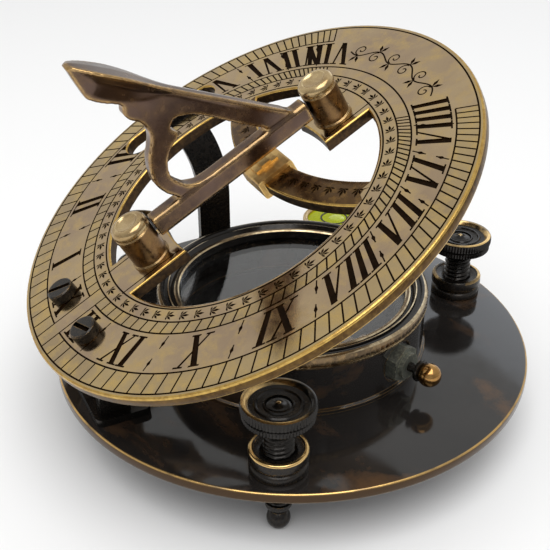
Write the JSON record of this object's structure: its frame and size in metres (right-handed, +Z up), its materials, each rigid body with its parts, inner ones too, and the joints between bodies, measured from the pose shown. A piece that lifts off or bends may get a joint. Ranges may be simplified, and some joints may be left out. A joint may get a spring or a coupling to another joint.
{
  "type": "folding sundial compass",
  "caption": "Round brass sundial compass: a tilting hour ring with a folding style over a glazed compass box, on a plate with levelling screws.",
  "frame": {"origin": "centre of the base plate's underside, on the compass axis", "axes": "+Z up out of the plate, +Y along the meridian from the dial's hinge to its raised side, +X to the right seen from the hinge"},
  "size_m": [0.102, 0.1064, 0.082],
  "materials": {
    "dial_brass": "polished, engraved, lightly toned",
    "antique_brass": "satin, dark antique patina",
    "black_brass": "gloss black patina, worn edges",
    "bright_brass": "polished",
    "blued_steel": "blued",
    "clear_glass": "clear",
    "black_card": "printed card",
    "level_liquid": "lime-green liquid"
  },
  "bodies": {
    "base": {"base_plate": "black_brass", "base_screws": "black_brass", "compass_box": "black_brass", "seat_ring": "bright_brass", "compass_glass": "clear_glass", "bezel": "bright_brass", "compass_card": "black_card", "needle_pivot": "bright_brass", "lock_bush": "black_brass", "lifter_stand": "bright_brass", "level_cup": "bright_brass", "level_fluid": "level_liquid", "level_bubble": "clear_glass", "level_window": "clear_glass", "hinge_base": "antique_brass", "hinge_screws": "black_brass", "hinge_pin": "antique_brass", "latitude_arc": "black_brass", "arc_bracket": "black_brass", "arc_rivets": "black_brass", "arc_screws": "black_brass", "screw_boss_front": "black_brass", "screw_boss_rear": "black_brass", "screw_boss_left": "black_brass"},
    "dial": {"hinge_arm": "antique_brass", "dial_ring": "dial_brass", "ring_screws": "black_brass", "post_south": "antique_brass", "post_north": "antique_brass", "post_screws": "antique_brass", "web_clip": "antique_brass", "detent_spring": "antique_brass"},
    "gnomon": {"gnomon": "antique_brass"},
    "needle": {"needle": "blued_steel", "needle_cap": "bright_brass"},
    "lock": {"lock_plunger": "bright_brass", "ball_knob": "antique_brass"},
    "lifter": {"lifter_lever": "bright_brass"},
    "foot_front": {"foot_front": "black_brass"},
    "screw_front": {"spindle_front": "black_brass", "thumb_wheel_front": "black_brass"},
    "foot_rear": {"foot_rear": "black_brass"},
    "screw_rear": {"spindle_rear": "black_brass", "thumb_wheel_rear": "black_brass"},
    "foot_left": {"foot_left": "black_brass"},
    "screw_left": {"spindle_left": "black_brass", "thumb_wheel_left": "black_brass"}
  },
  "joints": [
    {"name": "dial_tilt", "type": "hinge", "parent": "base", "child": "dial", "pos_m": [0, -0.044, 0.0072], "axis": [1, 0, 0], "range_deg": [-29.2, 30]},
    {"name": "gnomon_fold", "type": "hinge", "parent": "dial", "child": "gnomon", "pos_m": [0, -0.01455, 0.0447], "axis": [0, 0.8729, 0.4879], "range_deg": [0, 85]},
    {"name": "needle_spin", "type": "hinge", "parent": "base", "child": "needle", "pos_m": [0, 0, 0.0084], "axis": [0, 0, 1], "continuous": true},
    {"name": "lock_push", "type": "slide", "parent": "base", "child": "lock", "axis": [0.9272, 0.3746, 0], "range_m": [-0.0018, 0]},
    {"name": "lifter_swing", "type": "hinge", "parent": "base", "child": "lifter", "pos_m": [-0.00927, -0.00375, 0.0066], "axis": [0.3746, -0.9272, 0], "range_deg": [0, 2.1]},
    {"name": "foot_lift_front", "type": "slide", "parent": "base", "child": "foot_front", "axis": [0, 0, 1], "range_m": [-0.006, 0.0005]},
    {"name": "screw_turn_front", "type": "hinge", "parent": "foot_front", "child": "screw_front", "pos_m": [0.03767, -0.02175, 0], "axis": [0, 0, 1], "range_deg": [-2160, 180]},
    {"name": "foot_lift_rear", "type": "slide", "parent": "base", "child": "foot_rear", "axis": [0, 0, 1], "range_m": [-0.006, 0.0005]},
    {"name": "screw_turn_rear", "type": "hinge", "parent": "foot_rear", "child": "screw_rear", "pos_m": [0, 0.0435, 0], "axis": [0, 0, 1], "range_deg": [-2160, 180]},
    {"name": "foot_lift_left", "type": "slide", "parent": "base", "child": "foot_left", "axis": [0, 0, 1], "range_m": [-0.006, 0.0005]},
    {"name": "screw_turn_left", "type": "hinge", "parent": "foot_left", "child": "screw_left", "pos_m": [-0.03767, -0.02175, 0], "axis": [0, 0, 1], "range_deg": [-2160, 180]}
  ],
  "couplings": [
    {"joint": "lifter_swing", "follows": "lock_push", "rad_per_m": -19.4},
    {"joint": "foot_lift_front", "follows": "screw_turn_front", "m_per_rad": 0.00015915},
    {"joint": "foot_lift_rear", "follows": "screw_turn_rear", "m_per_rad": 0.00015915},
    {"joint": "foot_lift_left", "follows": "screw_turn_left", "m_per_rad": 0.00015915}
  ]
}
